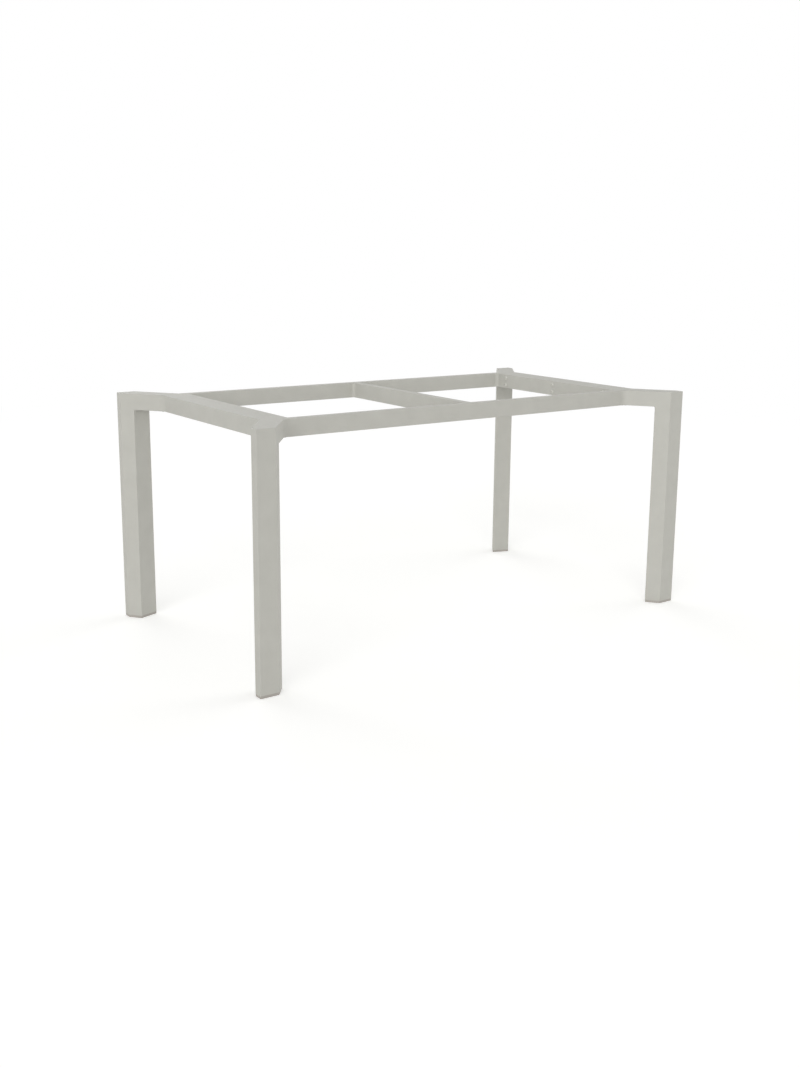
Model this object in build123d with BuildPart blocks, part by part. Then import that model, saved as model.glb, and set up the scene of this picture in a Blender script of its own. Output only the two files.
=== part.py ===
"""Table frame: a bolted steel underframe with four angled corner legs, in millimetres.

The frame stands on the floor plane z = 0, centred on the origin. X runs along the long
sides, Y along the short ends, and the front of the table is at -Y.

It comes apart into three welded units. The centre frame is two side rails and two end bars,
mitred at the corners, with a crossbar between the rails. Each end unit is a wider end beam
with a diagonal arm at each end, and a leg welded under the tip of each arm. Bolts through the
end bar into rivet nuts in the end beam clamp an end unit to the centre frame.
"""
from build123d import *
from math import radians, tan
import os

# Size over everything
overall_length = 1600.0
overall_width = 900.0
overall_height = 725.0

# Size of the frame under the table top, over the end beams and over the side rails
frame_length = 1418.0
frame_width = 658.0

# All the tubes that carry the top are equally deep
member_height = 50.0
tube_corner_radius = 1.5

# Radius of the corners inside a tube, as a share of the radius outside
inside_corner_share = 0.2

# Centre frame
rail_width = 25.0
rail_wall = 2.0
crossbar_width = 25.0
crossbar_wall = 2.0
crossbar_offset = 0.0

# End units
beam_width = 60.0
beam_wall = 2.5
arm_wall = 2.5

# Leg section: the two faces that meet at the outer corner, and the two sides beside the arm
leg_long_face = 58.0
leg_short_face = 27.0
leg_long_side = 51.5
leg_short_side = 46.0
leg_wall = 2.5
leg_corner_radius = 1.5
leg_cap_thickness = 4.0

# Fillet welds: the reach along each of the two plates, and the angle left at the toe
arm_weld_reach = 20.0
arm_weld_toe = 3.0
inner_weld_reach = 10.0
inner_weld_toe = 5.0
leg_weld_reach = 5.0
leg_weld_toe = 20.0
leg_weld_end_gap = 4.0

# Plastic glide in the bottom of each leg
foot_height = 8.0
foot_inset = 0.5
foot_chamfer = 1.0
foot_plug_depth = 22.0
foot_plug_clearance = 0.25
foot_plug_wall = 2.5

# Button head bolts that clamp the end bar to the end beam
bolt_rows = 3
bolts_per_row = 2
bolt_row_spacing = 253.0
bolt_pair_spacing = 25.0
bolt_diameter = 8.0
bolt_length = 40.0
bolt_tip_chamfer = 1.0
bolt_hole_diameter = 9.0
bolt_head_diameter = 14.0
bolt_head_height = 4.4
bolt_head_rim = 0.8
bolt_head_flat = 7.0
bolt_socket_width = 5.0
bolt_socket_depth = 2.6

# Rivet nuts set in the inner wall of the end beam
nut_rim_diameter = 13.0
nut_body_diameter = 11.0
nut_collar_diameter = 14.0
nut_collar_length = 4.0
nut_length = 17.0
nut_countersink_angle = 90.0
thread_clearance = 0.1

# Places that follow from the sizes above
half_length = overall_length / 2
half_width = overall_width / 2
beam_outer_x = frame_length / 2
beam_inner_x = beam_outer_x - beam_width
bar_inner_x = beam_inner_x - rail_width
rail_outer_y = frame_width / 2
rail_inner_y = rail_outer_y - rail_width
member_bottom = overall_height - member_height
member_middle = overall_height - member_height / 2
leg_top = overall_height - leg_cap_thickness
weld_bottom = member_bottom + tube_corner_radius
weld_height = member_height - 2 * tube_corner_radius

# Plan points of the front left leg. Its arm runs from the end of the long face to the inner
# edge of the end beam, and the sides of the leg lie in line with the sides of the arm
leg_tip = Vector(-half_length, -half_width)
long_face_end = leg_tip + Vector(leg_long_face, 0)
short_face_end = leg_tip + Vector(0, leg_short_face)
beam_corner = Vector(-beam_outer_x, -rail_outer_y)
arm_end = Vector(-beam_inner_x, -rail_outer_y)
arm_direction = (arm_end - long_face_end).normalized()
arm_across = Vector(-arm_direction.Y, arm_direction.X)
arm_width = (short_face_end - long_face_end).dot(arm_across)
arm_length = (arm_end - long_face_end).length
long_side_end = long_face_end + arm_direction * leg_long_side
short_side_end = short_face_end + arm_direction * leg_short_side

# Where the outer side of the arm meets the outer face of the end beam
arm_outer_run = (half_length - beam_outer_x) / arm_direction.X
arm_weld_corner = short_face_end + arm_direction * arm_outer_run

# Which way each corner of the frame is mirrored from the front left one
corners = {
    "front_left": (False, False),
    "front_right": (True, False),
    "back_left": (False, True),
    "back_right": (True, True),
}

os.makedirs("parts", exist_ok=True)


def write(piece, name):
    """Label a finished piece and write it to its own file."""
    piece.part.label = name
    export_step(piece.part, f"parts/{name}.step")


def write_at_corners(piece, stem):
    """Write a piece of the front left corner at all four corners of the frame."""
    for corner, (at_right, at_back) in corners.items():
        with BuildPart() as placed:
            add(piece.part)
            if at_right:
                mirror(about=Plane.YZ, mode=Mode.REPLACE)
            if at_back:
                mirror(about=Plane.XZ, mode=Mode.REPLACE)
        write(placed, f"{stem}_{corner}")


def write_both(piece, about, first_name, second_name):
    """Write a piece, and its mirror image on the opposite side of the frame."""
    write(piece, first_name)
    with BuildPart() as opposite:
        mirror(piece.part, about=about)
    write(opposite, second_name)


def tube_section(width, wall):
    """Draw the section of a welded rectangular tube, as deep as all the members."""
    RectangleRounded(width, member_height, tube_corner_radius)
    RectangleRounded(
        width - 2 * wall,
        member_height - 2 * wall,
        tube_corner_radius * inside_corner_share,
        mode=Mode.SUBTRACT,
    )


def weld_outline(corner, first_way, second_way, reach, toe):
    """Draw the plan of a fillet weld: a corner between two plates with a hollow face."""
    start = corner + first_way * reach
    end = corner + second_way * reach
    opening = first_way.get_angle(second_way)
    half_turn = radians((180 - opening) / 2 - toe)
    chord = (end - start).length
    middle = (start + end) / 2
    deepest = middle + (corner - middle).normalized() * (chord / 2 * tan(half_turn / 2))
    with BuildLine() as outline:
        Polyline(start, corner, end)
        ThreePointArc(start, deepest, end)
    make_face(outline.edges())


def leg_outline(round_at_arm, inset=0.0):
    """Draw the five-sided section of the leg, drawn in by an inset."""
    with BuildLine() as outline:
        Polyline(
            leg_tip,
            long_face_end,
            long_side_end,
            short_side_end,
            short_face_end,
            close=True,
        )
    make_face(outline.edges())
    corner_radius = leg_corner_radius
    if inset:
        offset(amount=-inset, kind=Kind.INTERSECTION, mode=Mode.REPLACE)
        corner_radius = max(leg_corner_radius - inset, leg_corner_radius * inside_corner_share)
    along_arm = Axis(tuple(leg_tip), tuple(arm_direction))
    outline_corners = vertices().sort_by(along_arm)
    fillet(outline_corners if round_at_arm else outline_corners[:3], corner_radius)


# Side rail, with its two mitred ends and the welds in its two inner corners
left_mitre = Plane(origin=(-beam_inner_x, -rail_outer_y), z_dir=(1, -1, 0))
right_mitre = Plane(origin=(beam_inner_x, -rail_outer_y), z_dir=(-1, -1, 0))
with BuildPart() as side_rail:
    with BuildSketch(Plane.YZ):
        with Locations((-rail_outer_y + rail_width / 2, member_middle)):
            tube_section(rail_width, rail_wall)
    extrude(amount=beam_inner_x, both=True)
    split(bisect_by=left_mitre, keep=Keep.TOP)
    split(bisect_by=right_mitre, keep=Keep.TOP)
    for way in (Vector(1, 0), Vector(-1, 0)):
        with BuildSketch(Plane.XY.offset(weld_bottom)):
            inner_corner = Vector(0, -rail_inner_y) - way * bar_inner_x
            weld_outline(inner_corner, way, Vector(0, 1), inner_weld_reach, inner_weld_toe)
        extrude(amount=weld_height)
write_both(side_rail, Plane.XZ, "side_rail_front", "side_rail_back")

# End bar of the centre frame, drilled through for the bolts
bolt_plane = Plane(origin=(-bar_inner_x, 0, member_middle), x_dir=(0, 1, 0), z_dir=(1, 0, 0))
back_mitre = Plane(origin=(-beam_inner_x, rail_outer_y), z_dir=(-1, -1, 0))
with BuildPart() as end_bar:
    with BuildSketch(Plane.XZ):
        with Locations((-bar_inner_x - rail_width / 2, member_middle)):
            tube_section(rail_width, rail_wall)
    extrude(amount=rail_outer_y, both=True)
    split(bisect_by=left_mitre, keep=Keep.BOTTOM)
    split(bisect_by=back_mitre, keep=Keep.TOP)
    with Locations(bolt_plane):
        with GridLocations(bolt_row_spacing, bolt_pair_spacing, bolt_rows, bolts_per_row):
            Hole(bolt_hole_diameter / 2)
write_both(end_bar, Plane.YZ, "end_bar_left", "end_bar_right")

# Crossbar, welded between the side rails
with BuildPart() as crossbar:
    with BuildSketch(Plane.XZ):
        with Locations((crossbar_offset, member_middle)):
            tube_section(crossbar_width, crossbar_wall)
    extrude(amount=rail_inner_y, both=True)
    for side in (Vector(1, 0), Vector(-1, 0)):
        for end in (Vector(0, 1), Vector(0, -1)):
            bar_corner = Vector(crossbar_offset, 0) + side * (crossbar_width / 2) + end * rail_inner_y
            with BuildSketch(Plane.XY.offset(weld_bottom)):
                weld_outline(bar_corner, side, end * -1, inner_weld_reach, inner_weld_toe)
            extrude(amount=weld_height)
write(crossbar, "crossbar")

# End beam, countersunk on its inner wall for the rivet nuts
nut_plane = bolt_plane.offset(-rail_width)
with BuildPart() as end_beam:
    with BuildSketch(Plane.XZ):
        with Locations((-beam_inner_x - beam_width / 2, member_middle)):
            tube_section(beam_width, beam_wall)
    extrude(amount=rail_outer_y, both=True)
    with Locations(nut_plane):
        with GridLocations(bolt_row_spacing, bolt_pair_spacing, bolt_rows, bolts_per_row):
            CounterSinkHole(
                nut_body_diameter / 2,
                nut_rim_diameter / 2,
                depth=beam_width / 2,
                counter_sink_angle=nut_countersink_angle,
            )
write_both(end_beam, Plane.YZ, "end_beam_left", "end_beam_right")

# Diagonal arm, cut to the back of the leg and notched over the corner of the end beam, with
# the welds in the corner beside the end beam and in the corner under the arm
arm_start = long_face_end + arm_across * (arm_width / 2)
arm_plane = Plane(
    origin=(arm_start.X, arm_start.Y, member_middle),
    x_dir=tuple(arm_across),
    z_dir=tuple(arm_direction),
)
leg_back = short_side_end - long_side_end
leg_back_normal = (leg_back.Y, -leg_back.X, 0)
leg_back_plane = Plane(origin=tuple(long_side_end), z_dir=leg_back_normal)
leg_weld_plane = Plane(
    origin=(long_side_end.X, long_side_end.Y, member_bottom),
    x_dir=leg_back_normal,
    z_dir=tuple(leg_back),
)
with BuildPart() as arm:
    with BuildSketch(arm_plane):
        tube_section(arm_width, arm_wall)
    extrude(amount=arm_length + beam_width)
    split(bisect_by=leg_back_plane, keep=Keep.TOP)
    with BuildSketch(Plane.XY.offset(member_bottom)):
        with Locations(beam_corner):
            Rectangle(frame_length, frame_width, align=(Align.MIN, Align.MIN))
    extrude(amount=member_height, mode=Mode.SUBTRACT)
    with BuildSketch(Plane.XY.offset(weld_bottom)):
        weld_outline(
            arm_weld_corner,
            arm_direction * -1,
            Vector(0, 1),
            arm_weld_reach,
            arm_weld_toe,
        )
    extrude(amount=weld_height)
    with BuildSketch(leg_weld_plane.offset(leg_weld_end_gap)):
        weld_outline(Vector(0, 0), Vector(1, 0), Vector(0, 1), leg_weld_reach, leg_weld_toe)
    extrude(amount=leg_back.length - 2 * leg_weld_end_gap)
write_at_corners(arm, "corner_arm")

# Leg tube, with square edges where the sides of the arm run on in line with it
with BuildPart() as leg:
    with BuildSketch(Plane.XY.offset(foot_height)):
        leg_outline(round_at_arm=True)
    extrude(amount=member_bottom - foot_height)
    with BuildSketch(Plane.XY.offset(member_bottom)):
        leg_outline(round_at_arm=False)
    extrude(amount=leg_top - member_bottom)
    with BuildSketch(Plane.XY.offset(foot_height)):
        leg_outline(round_at_arm=True, inset=leg_wall)
    extrude(amount=leg_top - foot_height, mode=Mode.SUBTRACT)
write_at_corners(leg, "leg")

# Plate that closes the top of the leg, rounded off in line with the edges of the arm
with BuildPart() as leg_cap:
    with BuildSketch(Plane.XY.offset(leg_top)):
        leg_outline(round_at_arm=False)
    extrude(amount=leg_cap_thickness)
    top_edges = faces().sort_by(Axis.Z)[-1].edges()
    free_edges = top_edges.sort_by(Axis(tuple(leg_tip), tuple(arm_direction)))[:-1]
    fillet(free_edges, tube_corner_radius)
write_at_corners(leg_cap, "leg_cap")

# Foot glide: a plate under the tube, with a hollow plug that grips inside it
with BuildPart() as foot_glide:
    with BuildSketch():
        leg_outline(round_at_arm=True, inset=foot_inset)
    extrude(amount=foot_height)
    chamfer(faces().sort_by(Axis.Z)[0].edges(), foot_chamfer)
    with BuildSketch(Plane.XY.offset(foot_height)):
        leg_outline(round_at_arm=True, inset=leg_wall + foot_plug_clearance)
    extrude(amount=foot_plug_depth)
    with BuildSketch(Plane.XY.offset(foot_height)):
        leg_outline(round_at_arm=True, inset=leg_wall + foot_plug_clearance + foot_plug_wall)
    extrude(amount=foot_plug_depth, mode=Mode.SUBTRACT)
write_at_corners(foot_glide, "foot_glide")

# One button head bolt, with the underside of its head at z = 0
shank_radius = bolt_diameter / 2
head_radius = bolt_head_diameter / 2
with BuildPart() as bolt:
    with BuildSketch(Plane.XZ):
        with BuildLine():
            Polyline(
                (0, bolt_head_height),
                (0, -bolt_length),
                (shank_radius - bolt_tip_chamfer, -bolt_length),
                (shank_radius, -bolt_length + bolt_tip_chamfer),
                (shank_radius, 0),
                (head_radius, 0),
                (head_radius, bolt_head_rim),
            )
            RadiusArc(
                (head_radius, bolt_head_rim),
                (bolt_head_flat / 2, bolt_head_height),
                -head_radius,
            )
            Line((bolt_head_flat / 2, bolt_head_height), (0, bolt_head_height))
        make_face()
    revolve(axis=Axis.Z)
    with BuildSketch(Plane.XY.offset(bolt_head_height)):
        RegularPolygon(bolt_socket_width / 2, side_count=6, major_radius=False)
    extrude(amount=-bolt_socket_depth, mode=Mode.SUBTRACT)

# The bolts of one end, with their heads on the inner face of the end bar
with BuildPart(bolt_plane) as end_bolts:
    with GridLocations(bolt_row_spacing, bolt_pair_spacing, bolt_rows, bolts_per_row):
        add(bolt.part)
write_both(end_bolts, Plane.YZ, "end_bolts_left", "end_bolts_right")

# One rivet nut, with its rim flush with the wall at z = 0 and its collar set behind the wall
body_radius = nut_body_diameter / 2
rim_radius = nut_rim_diameter / 2
rim_depth = (rim_radius - body_radius) / tan(radians(nut_countersink_angle / 2))
collar_radius = nut_collar_diameter / 2
collar_end = beam_wall + nut_collar_length
with BuildPart() as rivet_nut:
    with BuildSketch(Plane.XZ):
        with BuildLine():
            Polyline(
                (shank_radius + thread_clearance, 0),
                (rim_radius, 0),
                (body_radius, -rim_depth),
                (body_radius, -beam_wall),
                (collar_radius, -beam_wall),
                (body_radius, -collar_end),
                (body_radius, -nut_length),
                (shank_radius + thread_clearance, -nut_length),
                close=True,
            )
        make_face()
    revolve(axis=Axis.Z)

# The rivet nuts of one end
with BuildPart(nut_plane) as rivet_nuts:
    with GridLocations(bolt_row_spacing, bolt_pair_spacing, bolt_rows, bolts_per_row):
        add(rivet_nut.part)
write_both(rivet_nuts, Plane.YZ, "rivet_nuts_left", "rivet_nuts_right")
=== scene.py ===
"""Looks of the table frame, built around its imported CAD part.

The frame is welded from rectangular steel tube and powder coated a warm pale grey. It stands on
four angled legs with grey plastic glides, and button head bolts hold its end units on. The scene is
in metres, with z = 0 at the floor and the origin under the middle of the frame.
"""

import logging
import math
from dataclasses import dataclass, field, replace
from enum import Enum

import bpy
import numpy as np
from mathutils import Matrix, Vector


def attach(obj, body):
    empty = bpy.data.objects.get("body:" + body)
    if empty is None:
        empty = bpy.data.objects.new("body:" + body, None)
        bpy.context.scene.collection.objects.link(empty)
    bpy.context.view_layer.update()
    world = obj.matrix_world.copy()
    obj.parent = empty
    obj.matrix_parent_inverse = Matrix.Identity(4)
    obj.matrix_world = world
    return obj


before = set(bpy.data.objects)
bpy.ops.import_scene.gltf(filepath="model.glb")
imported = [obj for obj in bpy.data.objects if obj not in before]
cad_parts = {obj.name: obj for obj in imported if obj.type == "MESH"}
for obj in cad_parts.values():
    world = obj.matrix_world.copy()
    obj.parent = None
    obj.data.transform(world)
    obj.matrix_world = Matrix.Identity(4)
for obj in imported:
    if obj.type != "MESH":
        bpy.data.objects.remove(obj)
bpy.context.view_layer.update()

log = logging.getLogger("table_frame")

MM = 0.001
WHITE = (1.0, 1.0, 1.0, 1.0)
BLACK = (0.0, 0.0, 0.0, 1.0)

# Nearly all the values of a noise lie between these two
NOISE_LOW = 0.3
NOISE_HIGH = 0.7

# The ways along the length and the width of the frame, and down
ALONG_X = np.array((1.0, 0.0, 0.0))
ALONG_Y = np.array((0.0, 1.0, 0.0))
DOWN = np.array((0.0, 0.0, -1.0))


def linear(hex_colour: str) -> tuple[float, float, float, float]:
    """Turn an sRGB hex colour into linear light.

    Below 0.04045 the sRGB curve is a line, value / 12.92. Above, it is
    ((value + 0.055) / 1.055) to the power 2.4.

    Args:
        hex_colour: Six hex digits after a hash.

    Returns:
        Red, green and blue as linear values, and an alpha of 1.
    """
    digits = hex_colour.lstrip("#")
    encoded = np.array([int(digits[i : i + 2], 16) for i in (0, 2, 4)]) / 255
    straight = np.where(encoded <= 0.04045, encoded / 12.92, ((encoded + 0.055) / 1.055) ** 2.4)
    return (*(float(value) for value in straight), 1.0)


def add_node(
    tree: bpy.types.NodeTree, kind: str, settings: dict | None = None, **inputs
) -> bpy.types.Node:
    """Add one node, set its properties, and fill or link its inputs.

    Args:
        tree: The node tree that gets the node.
        kind: The node's type name, such as "ShaderNodeMath".
        settings: Properties of the node itself, such as its operation.
        **inputs: Socket values. A name such as in_0 is a socket's number, any other is its name
            with underscores for spaces. A socket is linked, and anything else is set as a value.

    Returns:
        The new node.
    """
    node = tree.nodes.new(kind)
    for name, value in (settings or {}).items():
        setattr(node, name, value)
    for name, value in inputs.items():
        key = int(name[3:]) if name.startswith("in_") else name.replace("_", " ")
        if isinstance(value, bpy.types.NodeSocket):
            tree.links.new(value, node.inputs[key])
        else:
            node.inputs[key].default_value = value
    return node


def shown_rays(tree: bpy.types.NodeTree) -> bpy.types.NodeSocket:
    """Tell the rays that show a background from the rays that light the object with it.

    Args:
        tree: The node tree that gets the nodes.

    Returns:
        A socket that is 1 for camera, glossy and transmission rays, and 0 for the others.
    """
    path = add_node(tree, "ShaderNodeLightPath")
    shown = path.outputs["Is Camera Ray"]
    for ray in ("Is Glossy Ray", "Is Transmission Ray"):
        shown = add_node(
            tree, "ShaderNodeMath", {"operation": "MAXIMUM"}, in_0=shown, in_1=path.outputs[ray]
        ).outputs[0]
    return shown


def per_metre(size_mm: float) -> float:
    """Scale of a noise whose features are this many millimetres across."""
    return 1 / (size_mm * MM)


def unit(way: np.ndarray) -> np.ndarray:
    """Scale a vector to a length of one."""
    return way / np.linalg.norm(way)


@dataclass(frozen=True)
class Finish:
    """A surface finish: the name of its material and how to build it."""

    name: str

    def build(self) -> bpy.types.Material:
        """Make the material.

        Returns:
            The finished node material.
        """
        material = bpy.data.materials.new(self.name)
        material.use_nodes = True
        tree = material.node_tree
        tree.nodes.clear()
        shader = self.shade(tree)
        add_node(tree, "ShaderNodeOutputMaterial", Surface=shader.outputs[0])
        return material

    def shade(self, tree: bpy.types.NodeTree) -> bpy.types.Node:
        """Fill the node tree.

        Args:
            tree: The empty node tree of the material.

        Returns:
            The shader node that goes to the output.
        """
        raise NotImplementedError


@dataclass(frozen=True)
class PowderCoat(Finish):
    """Fine textured polyester powder coat, baked on steel tube.

    The eye sees a dry warm grey with a soft, wide highlight. The grit of the powder breaks that
    highlight up, and the coat flowed out into shallow waves before it set. Real grit is about
    0.3 mm across, and it is drawn coarser here so that it shows.
    """

    name: str = "fine_texture_powder_coat"
    colour: str = "#B8B7B0"
    thin_colour: str = "#B4B3AC"
    thick_colour: str = "#BCBBB4"
    roughness: float = 0.6
    roughness_spread: float = 0.05
    grit_mm: float = 0.9
    grit_depth_mm: float = 0.035
    wave_mm: float = 6.0
    wave_depth_mm: float = 0.05
    cloud_mm: float = 45.0
    noise_detail: float = 3.0
    wave_detail: float = 2.0
    grit_harshness: float = 0.6
    coat_ior: float = 1.5

    def shade(self, tree: bpy.types.NodeTree) -> bpy.types.Node:
        """Fill the node tree.

        Args:
            tree: The empty node tree of the material.

        Returns:
            The shader node that goes to the output.
        """
        place = add_node(tree, "ShaderNodeTexCoord").outputs["Object"]
        grit = add_node(
            tree,
            "ShaderNodeTexNoise",
            Vector=place,
            Scale=per_metre(self.grit_mm),
            Detail=self.noise_detail,
            Roughness=self.grit_harshness,
        ).outputs["Fac"]
        wave = add_node(
            tree,
            "ShaderNodeTexNoise",
            Vector=place,
            Scale=per_metre(self.wave_mm),
            Detail=self.wave_detail,
        ).outputs["Fac"]
        cloud = add_node(
            tree,
            "ShaderNodeTexNoise",
            Vector=place,
            Scale=per_metre(self.cloud_mm),
            Detail=self.noise_detail,
        ).outputs["Fac"]
        speckle = add_node(
            tree, "ShaderNodeMath", {"operation": "ADD"}, in_0=grit, in_1=cloud
        ).outputs[0]
        tone = add_node(
            tree,
            "ShaderNodeMapRange",
            Value=speckle,
            From_Min=2 * NOISE_LOW,
            From_Max=2 * NOISE_HIGH,
        ).outputs[0]
        ramp = add_node(tree, "ShaderNodeValToRGB", Fac=tone)
        ramp.color_ramp.elements[0].color = linear(self.thin_colour)
        ramp.color_ramp.elements[1].color = linear(self.thick_colour)
        middle = ramp.color_ramp.elements.new(0.5)
        middle.color = linear(self.colour)
        gloss = add_node(
            tree,
            "ShaderNodeMapRange",
            Value=wave,
            From_Min=NOISE_LOW,
            From_Max=NOISE_HIGH,
            To_Min=self.roughness - self.roughness_spread,
            To_Max=self.roughness + self.roughness_spread,
        ).outputs[0]
        waves = add_node(
            tree, "ShaderNodeBump", Height=wave, Strength=1.0, Distance=self.wave_depth_mm * MM
        ).outputs[0]
        grains = add_node(
            tree,
            "ShaderNodeBump",
            Height=grit,
            Strength=1.0,
            Distance=self.grit_depth_mm * MM,
            Normal=waves,
        ).outputs[0]
        return add_node(
            tree,
            "ShaderNodeBsdfPrincipled",
            Base_Color=ramp.outputs["Color"],
            Roughness=gloss,
            Normal=grains,
            IOR=self.coat_ior,
        )


@dataclass(frozen=True)
class MouldedPlastic(Finish):
    """Injection moulded polypropylene, spark eroded satin.

    The eye sees a plain warm grey, a little waxy, with the faint even grain of the mould.
    """

    name: str = "moulded_grey_polypropylene"
    colour: str = "#ABA69F"
    dark_colour: str = "#A49F98"
    roughness: float = 0.5
    grain_mm: float = 0.7
    grain_depth_mm: float = 0.03
    flow_mm: float = 18.0
    flow_detail: float = 3.0
    plastic_ior: float = 1.49

    def shade(self, tree: bpy.types.NodeTree) -> bpy.types.Node:
        """Fill the node tree.

        Args:
            tree: The empty node tree of the material.

        Returns:
            The shader node that goes to the output.
        """
        place = add_node(tree, "ShaderNodeTexCoord").outputs["Object"]
        grain = add_node(
            tree,
            "ShaderNodeTexVoronoi",
            Vector=place,
            Scale=per_metre(self.grain_mm),
            Randomness=1.0,
        ).outputs["Distance"]
        flow = add_node(
            tree,
            "ShaderNodeTexNoise",
            Vector=place,
            Scale=per_metre(self.flow_mm),
            Detail=self.flow_detail,
        ).outputs["Fac"]
        colour = add_node(
            tree,
            "ShaderNodeMix",
            {"data_type": "RGBA"},
            in_0=flow,
            in_6=linear(self.dark_colour),
            in_7=linear(self.colour),
        ).outputs[2]
        relief = add_node(
            tree, "ShaderNodeBump", Height=grain, Strength=1.0, Distance=self.grain_depth_mm * MM
        ).outputs[0]
        return add_node(
            tree,
            "ShaderNodeBsdfPrincipled",
            Base_Color=colour,
            Roughness=self.roughness,
            Normal=relief,
            IOR=self.plastic_ior,
        )


@dataclass(frozen=True)
class PlatedSteel(Finish):
    """Steel with a passivated zinc plating, as rivet nuts have.

    The eye sees a pale grey metal with a soft sheen and the faint mottling of the plating bath.
    """

    name: str = "zinc_plated_steel"
    colour: str = "#C3C4BF"
    shade_colour: str = "#AEB0AC"
    roughness: float = 0.4
    roughness_spread: float = 0.08
    mottle_mm: float = 1.6
    mottle_detail: float = 3.0
    scratch_mm: float = 0.25
    scratch_detail: float = 2.0
    scratch_depth_mm: float = 0.012

    def shade(self, tree: bpy.types.NodeTree) -> bpy.types.Node:
        """Fill the node tree.

        Args:
            tree: The empty node tree of the material.

        Returns:
            The shader node that goes to the output.
        """
        place = add_node(tree, "ShaderNodeTexCoord").outputs["Object"]
        mottle = add_node(
            tree,
            "ShaderNodeTexNoise",
            Vector=place,
            Scale=per_metre(self.mottle_mm),
            Detail=self.mottle_detail,
        ).outputs["Fac"]
        scratch = add_node(
            tree,
            "ShaderNodeTexNoise",
            Vector=place,
            Scale=per_metre(self.scratch_mm),
            Detail=self.scratch_detail,
        ).outputs["Fac"]
        colour = add_node(
            tree,
            "ShaderNodeMix",
            {"data_type": "RGBA"},
            in_0=mottle,
            in_6=linear(self.shade_colour),
            in_7=linear(self.colour),
        ).outputs[2]
        gloss = add_node(
            tree,
            "ShaderNodeMapRange",
            Value=mottle,
            From_Min=NOISE_LOW,
            From_Max=NOISE_HIGH,
            To_Min=self.roughness - self.roughness_spread,
            To_Max=self.roughness + self.roughness_spread,
        ).outputs[0]
        relief = add_node(
            tree,
            "ShaderNodeBump",
            Height=scratch,
            Strength=1.0,
            Distance=self.scratch_depth_mm * MM,
        ).outputs[0]
        return add_node(
            tree,
            "ShaderNodeBsdfPrincipled",
            Base_Color=colour,
            Metallic=1.0,
            Roughness=gloss,
            Normal=relief,
        )


class Dressing(Enum):
    """Which finish each kind of CAD piece wears, by the start of its node's name."""

    COATED = ("side_rail", "end_bar", "crossbar", "end_beam", "corner_arm", "leg")
    MOULDED = ("foot_glide",)
    COATED_BOLTS = ("end_bolts",)
    PLATED_NUTS = ("rivet_nuts",)


@dataclass
class CarriedPieces:
    """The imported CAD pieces, each dressed in the finish of the real one."""

    coat: PowderCoat = field(default_factory=PowderCoat)
    plastic: MouldedPlastic = field(default_factory=MouldedPlastic)
    # The heads' colour is a shade paler than the tubes', a painted highlight for the light that
    # their domed tops catch; their coat is also thinner and smoother
    bolt_coat: PowderCoat = field(
        default_factory=lambda: PowderCoat(
            name="powder_coated_bolt_heads_painted_highlight",
            colour="#C4C3BC",
            thin_colour="#C1C0B9",
            thick_colour="#C7C6BF",
            roughness=0.45,
            grit_mm=0.6,
            grit_depth_mm=0.015,
            wave_mm=3.0,
            wave_depth_mm=0.02,
        )
    )
    nut_steel: PlatedSteel = field(default_factory=PlatedSteel)

    def dress(self, nodes: dict[str, bpy.types.Object]) -> dict[Dressing, bpy.types.Material]:
        """Give every CAD node its material.

        Args:
            nodes: The frame's node objects by name.

        Returns:
            The materials by kind of piece.
        """
        finishes = {
            Dressing.COATED: self.coat.build(),
            Dressing.MOULDED: self.plastic.build(),
            Dressing.COATED_BOLTS: self.bolt_coat.build(),
            Dressing.PLATED_NUTS: self.nut_steel.build(),
        }
        for name, node in nodes.items():
            kind = next(kind for kind in Dressing if name.startswith(kind.value))
            for slot in node.material_slots:
                slot.material = finishes[kind]
            log.info("%s dressed in %s", name, finishes[kind].name)
        return finishes


@dataclass(frozen=True)
class BeadRun:
    """One straight run of weld, with its points in millimetres.

    The bead lies along the line from start to end. Its two toes are one reach out from that line,
    along the first way and the second way, and its crown stands up in the outward way. A crown
    below zero is a hollow. Each end rounds off over the length of end_round. The ripple's depth is
    a share of the crown, and 0 leaves the bead smooth.
    """

    start: np.ndarray
    end: np.ndarray
    first_way: np.ndarray
    second_way: np.ndarray
    outward: np.ndarray
    reach: float
    crown: float
    end_round: float
    ripple_depth: float

    def mirrored(self, signs: np.ndarray) -> "BeadRun":
        """Copy the run to another corner of the frame.

        Args:
            signs: What each coordinate is multiplied by, 1 or -1.

        Returns:
            The mirrored run.
        """
        turned = ("start", "end", "first_way", "second_way", "outward")
        return replace(self, **{name: getattr(self, name) * signs for name in turned})


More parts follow.
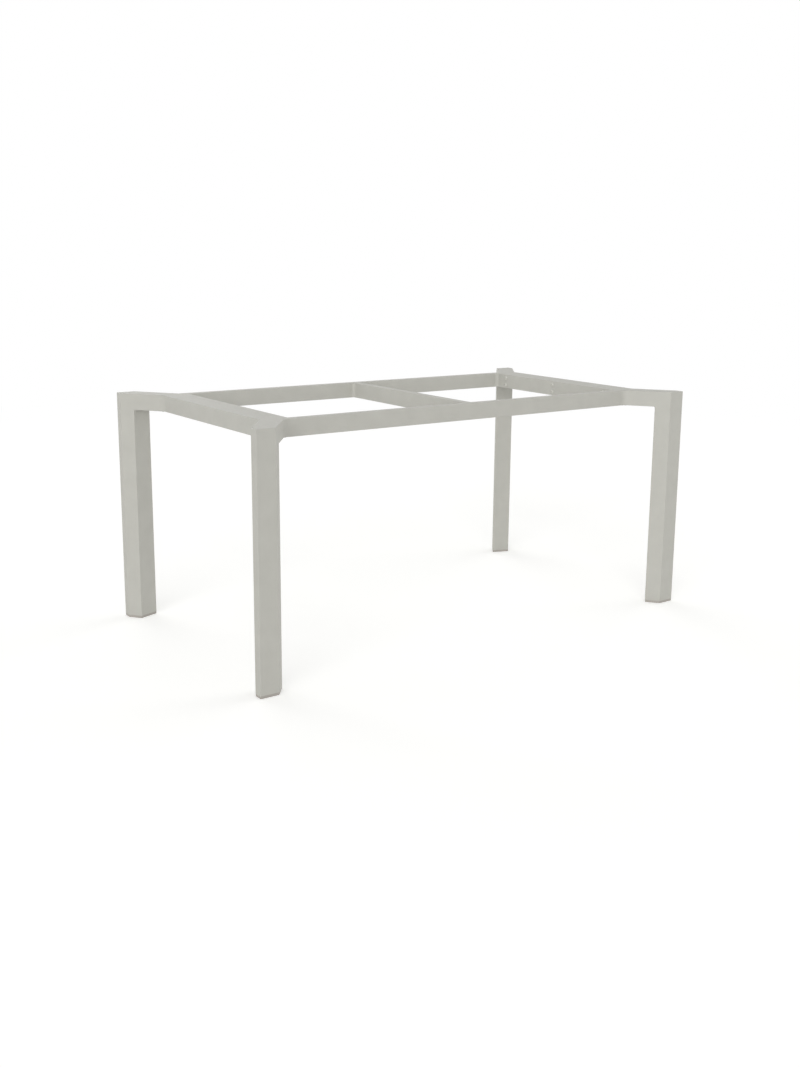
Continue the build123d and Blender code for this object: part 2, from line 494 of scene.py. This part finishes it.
@dataclass
class WeldBeads:
    """Weld beads of the frame: rippled underneath, smooth at the sides and flush on top.

    The undersides were left as welded, so a bead runs under each arm at the back of the leg and
    along the joints below. A smooth hollow fillet stands where the inner side of each arm meets
    the face of the side rail. On top a flat seam fills the groove between each arm and the
    rounded edge of the beam. The CAD solids carry the other welds. All sizes are in millimetres,
    and those of the tubes are the CAD's own. The ripple's depth is a share of the crown, and its
    lag a share of the pitch.
    """

    half_length: float = 800.0
    half_width: float = 450.0
    beam_outer_x: float = 709.0
    beam_width: float = 60.0
    rail_outer_y: float = 329.0
    rail_width: float = 25.0
    crossbar_width: float = 25.0
    member_bottom: float = 675.0
    member_height: float = 50.0
    tube_corner_radius: float = 1.5
    leg_long_face: float = 58.0
    leg_short_face: float = 27.0
    leg_long_side: float = 51.5
    leg_short_side: float = 46.0
    fillet_reach: float = 5.2
    fillet_crown: float = 0.4
    smooth_reach: float = 12.0
    smooth_hollow: float = 2.0
    smooth_end_round: float = 1.0
    seam_reach: float = 3.4
    seam_crown: float = 1.1
    flush_sink: float = 0.02
    ripple_pitch: float = 2.6
    ripple_depth: float = 0.45
    ripple_lag: float = 0.55
    rings_per_ripple: int = 8
    across: int = 9
    root_depth: float = 0.4

    def corner_runs(self) -> list[BeadRun]:
        """Lay out the runs of the front left corner of an end unit.

        Returns:
            The fillet at the back of the leg, the flush seam on top, the smooth fillet beside the
            rail, and the two seams around the corner of the beam.
        """
        level = self.member_bottom
        tip = np.array((-self.half_length, -self.half_width, level))
        long_end = tip + (self.leg_long_face, 0, 0)
        short_end = tip + (0, self.leg_short_face, 0)
        beam_corner = np.array((-self.beam_outer_x, -self.rail_outer_y, level))
        arm_end = beam_corner + (self.beam_width, 0, 0)
        along = unit(arm_end - long_end)
        back_start = long_end + along * self.leg_long_side
        back_end = short_end + along * self.leg_short_side
        back_line = unit(back_end - back_start)
        behind = np.array((back_line[1], -back_line[0], 0))
        meeting = short_end + along * ((self.half_length - self.beam_outer_x) / along[0])
        edge = self.tube_corner_radius
        fillet = BeadRun(
            start=back_start + back_line * edge,
            end=back_end - back_line * edge,
            first_way=behind,
            second_way=DOWN,
            outward=unit(behind + DOWN),
            reach=self.fillet_reach,
            crown=self.fillet_crown,
            end_round=self.fillet_reach,
            ripple_depth=self.ripple_depth,
        )
        groove = np.array((edge / 2, 0, self.member_height - self.flush_sink))
        flush = BeadRun(
            start=beam_corner + groove - (0, edge / 2, 0),
            end=meeting + groove - (0, edge / along[0] - edge / 2, 0),
            first_way=ALONG_X,
            second_way=-ALONG_X,
            outward=-DOWN,
            reach=edge / 2,
            crown=0.0,
            end_round=edge / 2,
            ripple_depth=0.0,
        )
        smooth = BeadRun(
            start=arm_end + (0, 0, self.smooth_end_round / 2),
            end=arm_end + (0, 0, self.member_height - self.smooth_end_round / 2),
            first_way=-along,
            second_way=ALONG_X,
            outward=unit(ALONG_X - along),
            reach=self.smooth_reach,
            crown=-self.smooth_hollow,
            end_round=self.smooth_end_round,
            ripple_depth=0.0,
        )
        return [
            fillet,
            flush,
            smooth,
            self.seam(meeting - (0, edge, 0), beam_corner, ALONG_X),
            self.seam(beam_corner, arm_end - (edge, 0, 0), ALONG_Y),
        ]

    def centre_runs(self) -> tuple[list[BeadRun], list[BeadRun]]:
        """Lay out the runs of the centre frame.

        Returns:
            The seam of the front left mitre, and the seam at the front end of the crossbar.
        """
        level = self.member_bottom
        outer = np.array((-(self.beam_outer_x - self.beam_width), -self.rail_outer_y, level))
        inner = outer + (self.rail_width, self.rail_width, 0)
        mitre = unit(inner - outer)
        across_mitre = np.array((mitre[1], -mitre[0], 0))
        bar_side = np.array((self.crossbar_width / 2 - self.tube_corner_radius, 0, 0))
        bar_end = np.array((0, self.rail_width - self.rail_outer_y, level))
        return (
            [self.seam(outer + mitre * self.tube_corner_radius, inner, across_mitre)],
            [self.seam(bar_end - bar_side, bar_end + bar_side, ALONG_Y)],
        )

    def seam(self, start: np.ndarray, end: np.ndarray, side: np.ndarray) -> BeadRun:
        """Lay out a seam along the flat underside of a joint.

        Args:
            start: One end of the joint line.
            end: The other end.
            side: The level way across the line.

        Returns:
            The run, with its crown downwards.
        """
        return BeadRun(
            start=start,
            end=end,
            first_way=side,
            second_way=-side,
            outward=DOWN,
            reach=self.seam_reach,
            crown=self.seam_crown,
            end_round=self.seam_reach,
            ripple_depth=self.ripple_depth,
        )

    def skin(self, run: BeadRun) -> tuple[np.ndarray, np.ndarray, np.ndarray]:
        """Work out the closed skin of one bead.

        Across the bead, v goes from 0 at one toe to 1 at the other. The skin is the straight line
        between the toes, raised by the crown times 4 v (1 - v). The crown rises and falls as the
        absolute sine of pi times the distance over the ripple pitch, and lags at the toes by a
        square law, so that each ripple is a crescent. Near the ends everything shrinks as a
        quarter circle over the run's end_round, to a pole at each end. A root line inside the
        joint closes the skin underneath.

        Args:
            run: The run that the bead follows.

        Returns:
            The points with the two poles last, the four-sided faces, and the three-sided faces
            at the two ends.
        """
        length = np.linalg.norm(run.end - run.start)
        rings = int(length / self.ripple_pitch * self.rings_per_ripple) + 2
        place = np.linspace(0, length, rings)[1:-1]
        from_end = np.minimum(place, length - place)
        full = np.sqrt(1 - np.clip(1 - from_end / run.end_round, 0, 1) ** 2)[:, None]
        v = np.linspace(0, 1, self.across)[None, :]
        phase = place[:, None] / self.ripple_pitch - self.ripple_lag * (2 * v - 1) ** 2
        ripple = 1 - run.ripple_depth * (1 - np.abs(np.sin(math.pi * phase)))
        raised = run.crown * full * 4 * v * (1 - v) * ripple
        line = run.start + (run.end - run.start) * (place / length)[:, None]
        toward_first, toward_second = run.reach * full * (1 - v), run.reach * full * v
        skin = (
            line[:, None, :]
            + toward_first[..., None] * run.first_way
            + toward_second[..., None] * run.second_way
            + raised[..., None] * run.outward
        )
        root = (line - run.outward * self.root_depth)[:, None, :]
        loops = np.concatenate((skin, root), axis=1)
        columns = self.across + 1
        index = np.arange(loops.shape[0] * columns).reshape(-1, columns)
        turned = np.roll(index, -1, axis=1)
        quads = np.stack((index[:-1], turned[:-1], turned[1:], index[1:]), axis=-1).reshape(-1, 4)
        start_pole, end_pole = np.full(columns, index.size), np.full(columns, index.size + 1)
        caps = np.concatenate(
            (
                np.stack((turned[0], index[0], start_pole), axis=-1),
                np.stack((index[-1], turned[-1], end_pole), axis=-1),
            )
        )
        points = np.concatenate((loops.reshape(-1, 3), run.start[None], run.end[None]))
        return points, quads, caps

    def piece(self, name: str, runs: list[BeadRun], coat: bpy.types.Material) -> None:
        """Make one piece of several beads, riding with the frame.

        Its faces are turned over on each bead whose end faces look inwards, where the triple
        products of their corners about the bead's middle add up to less than zero. The edges
        along the toes are sharp, so that the hidden faces don't darken the skin there.

        Args:
            name: The piece's name.
            runs: The runs of its beads.
            coat: The material that it wears.
        """
        points, faces, toes, count = [], [], [], 0
        for run in runs:
            skin, quads, caps = self.skin(run)
            first, second, third = (skin[caps] - skin.mean(axis=0)).transpose(1, 0, 2)
            order = 1 if (first * np.cross(second, third)).sum() > 0 else -1
            points.append(skin * MM)
            faces += (quads[:, ::order] + count).tolist() + (caps[:, ::order] + count).tolist()
            toe = np.isin(np.arange(len(skin)) % (self.across + 1), (0, self.across - 1))
            toe[-2:] = False  # the two poles
            toes.append(toe)
            count += len(skin)
        mesh = bpy.data.meshes.new(name)
        mesh.from_pydata(np.concatenate(points).tolist(), [], faces)
        mesh.polygons.foreach_set("use_smooth", np.ones(len(faces), dtype=bool))
        edge_ends = np.empty(2 * len(mesh.edges), dtype=np.int32)
        mesh.edges.foreach_get("vertices", edge_ends)
        at_toe = np.concatenate(toes)[edge_ends].reshape(-1, 2).all(axis=1)
        mesh.edges.foreach_set("use_edge_sharp", at_toe)
        mesh.materials.append(coat)
        piece = bpy.data.objects.new(name, mesh)
        bpy.context.scene.collection.objects.link(piece)
        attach(piece, "root")
        log.info("%s has %d beads and %d points", name, len(runs), count)

    def build(self, coat: bpy.types.Material) -> None:
        """Make the beads of both end units and of the centre frame.

        Args:
            coat: The material that they wear.
        """
        front_and_back = (np.array((1, 1, 1)), np.array((1, -1, 1)))
        across = np.array((-1, 1, 1))
        left = [run.mirrored(signs) for signs in front_and_back for run in self.corner_runs()]
        mitres, bar_ends = self.centre_runs()
        centre = [run.mirrored(signs) for signs in front_and_back for run in mitres]
        centre += [run.mirrored(across) for run in centre]
        centre += [run.mirrored(signs) for signs in front_and_back for run in bar_ends]
        self.piece("weld_beads_left_unit", left, coat)
        self.piece("weld_beads_right_unit", [run.mirrored(across) for run in left], coat)
        self.piece("weld_beads_centre_frame", centre, coat)


@dataclass
class StudioFloor:
    """A white floor that fades into the white backdrop and keeps the frame's shadow.

    The camera sees the floor's own shading, made up to white where nothing shades it.
    """

    half_size: float = 30.0
    colour: str = "#F4F4F2"
    open_level: float = 0.71
    fade_start: float = 2.4
    fade_end: float = 5.5

    def material(self) -> bpy.types.Material:
        """Make the floor's material.

        Rays that show a background see the shaded floor, which fades out far away, plus what it
        lacks of white where nothing shades it. Its level there is open_level. Every other ray
        sees the shaded floor alone.

        Returns:
            The finished node material.
        """
        material = bpy.data.materials.new("white_studio_floor")
        material.use_nodes = True
        tree = material.node_tree
        tree.nodes.clear()
        place = add_node(tree, "ShaderNodeTexCoord").outputs["Object"]
        away = add_node(
            tree, "ShaderNodeVectorMath", {"operation": "LENGTH"}, in_0=place
        ).outputs["Value"]
        shown = shown_rays(tree)
        seen = []
        for near_share in (0.0, 1 - self.open_level):
            fade = add_node(
                tree,
                "ShaderNodeMapRange",
                {"interpolation_type": "SMOOTHSTEP"},
                Value=away,
                From_Min=self.fade_start,
                From_Max=self.fade_end,
                To_Min=near_share,
                To_Max=1.0,
            ).outputs[0]
            seen.append(
                add_node(
                    tree, "ShaderNodeMath", {"operation": "MULTIPLY"}, in_0=fade, in_1=shown
                ).outputs[0]
            )
        hidden, made_up = seen
        shaded = add_node(tree, "ShaderNodeBsdfDiffuse", Color=linear(self.colour))
        black = add_node(tree, "ShaderNodeBsdfDiffuse", Color=BLACK)
        white = add_node(tree, "ShaderNodeEmission", Color=WHITE, Strength=made_up)
        kept = add_node(
            tree, "ShaderNodeMixShader", in_0=hidden, in_1=shaded.outputs[0], in_2=black.outputs[0]
        )
        whole = add_node(tree, "ShaderNodeAddShader", in_0=kept.outputs[0], in_1=white.outputs[0])
        add_node(tree, "ShaderNodeOutputMaterial", Surface=whole.outputs[0])
        return material

    def build(self) -> None:
        """Lay the floor at z = 0, as part of the stage."""
        corner = self.half_size
        points = np.array(
            [(-corner, -corner, 0), (corner, -corner, 0), (corner, corner, 0), (-corner, corner, 0)]
        )
        mesh = bpy.data.meshes.new("studio_floor")
        mesh.from_pydata(points.tolist(), [], [(0, 1, 2, 3)])
        floor = bpy.data.objects.new("studio_floor", mesh)
        mesh.materials.append(self.material())
        bpy.context.scene.collection.objects.link(floor)


@dataclass(frozen=True)
class SoftLamp:
    """A wide soft lamp far away, with its angles in degrees.

    Its bearing is the way that it shines from, round from the front of the table towards the left
    end, its height is the angle above level, and its spread is how wide it looks. A share of 1
    lights a face turned to it as a colour is written.
    """

    name: str
    bearing: float
    height: float
    share: float
    spread: float = 50.0

    def build(self) -> None:
        """Hang the lamp, with an energy of pi times its share."""
        bearing, height = math.radians(self.bearing), math.radians(self.height)
        level = math.cos(height)
        toward = Vector((-math.sin(bearing) * level, -math.cos(bearing) * level, math.sin(height)))
        lamp = bpy.data.lights.new(self.name, "SUN")
        lamp.energy = math.pi * self.share
        lamp.angle = math.radians(self.spread)
        holder = bpy.data.objects.new(self.name, lamp)
        bpy.context.scene.collection.objects.link(holder)
        holder.rotation_mode = "QUATERNION"
        holder.rotation_quaternion = toward.to_track_quat("Z", "Y")


@dataclass
class StudioLight:
    """Even light from a white room, with three low soft lamps around the table."""

    room_share: float = 0.525
    lamps: tuple[SoftLamp, ...] = (
        SoftLamp(name="camera_side_lamp", bearing=47.0, height=15.0, share=0.51),
        SoftLamp(name="right_end_lamp", bearing=-88.0, height=15.0, share=0.27),
        SoftLamp(name="back_lamp", bearing=180.0, height=15.0, share=0.31),
    )

    def build(self) -> None:
        """Set the world and hang the lamps."""
        world = bpy.data.worlds.new("white_room")
        bpy.context.scene.world = world
        world.use_nodes = True
        tree = world.node_tree
        tree.nodes.clear()
        strength = add_node(
            tree, "ShaderNodeMapRange", Value=shown_rays(tree), To_Min=self.room_share, To_Max=1.0
        ).outputs[0]
        sky = add_node(tree, "ShaderNodeBackground", Color=WHITE, Strength=strength)
        add_node(tree, "ShaderNodeOutputWorld", Surface=sky.outputs[0])
        for lamp in self.lamps:
            lamp.build()


@dataclass
class PhotographCamera:
    """The camera at the photograph's place, solved from the frame's own straight edges.

    Its place is in metres. The focal length and the centre are in pixels of the photograph.
    """

    place: tuple[float, float, float] = (-2.230636, -3.100652, 1.183882)
    yaw_degrees: float = 37.283
    pitch_degrees: float = 11.807
    roll_degrees: float = -0.855
    image_width: float = 800.0
    image_height: float = 1067.0
    focal_pixels: float = 1187.875
    centre_pixels: tuple[float, float] = (439.515, 495.218)
    sensor_mm: float = 36.0
    nearest: float = 0.05
    farthest: float = 200.0

    def build(self) -> None:
        """Place the camera and make it the scene's own.

        The sensor's width is the long side's, and the shift moves the frame off the lens axis.
        """
        yaw = math.radians(self.yaw_degrees)
        pitch = math.radians(self.pitch_degrees)
        roll = math.radians(self.roll_degrees)
        ahead = Vector(
            (math.sin(yaw) * math.cos(pitch), math.cos(yaw) * math.cos(pitch), -math.sin(pitch))
        )
        level = Vector((math.cos(yaw), -math.sin(yaw), 0))
        down = ahead.cross(level)
        right = level * math.cos(roll) + down * math.sin(roll)
        up = level * math.sin(roll) - down * math.cos(roll)
        data = bpy.data.cameras.new("photograph_camera")
        data.sensor_fit = "AUTO"
        data.sensor_width = self.sensor_mm
        data.lens = self.focal_pixels / self.image_height * self.sensor_mm
        data.shift_x = (self.image_width / 2 - self.centre_pixels[0]) / self.image_height
        data.shift_y = (self.centre_pixels[1] - self.image_height / 2) / self.image_height
        data.clip_start = self.nearest
        data.clip_end = self.farthest
        camera = bpy.data.objects.new("photograph_camera", data)
        bpy.context.scene.collection.objects.link(camera)
        turn = Matrix((right, up, -ahead)).transposed()
        camera.matrix_world = Matrix.Translation(self.place) @ turn.to_4x4()
        bpy.context.scene.camera = camera


def main() -> None:
    """Build the looks in order and report each piece."""
    logging.basicConfig(level=logging.INFO, format="%(name)s: %(message)s")
    PhotographCamera().build()
    finishes = CarriedPieces().dress(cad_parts)
    WeldBeads().build(finishes[Dressing.COATED])
    StudioFloor().build()
    StudioLight().build()
    bpy.context.scene.view_settings.view_transform = "Standard"


if __name__ == "__main__":
    main()
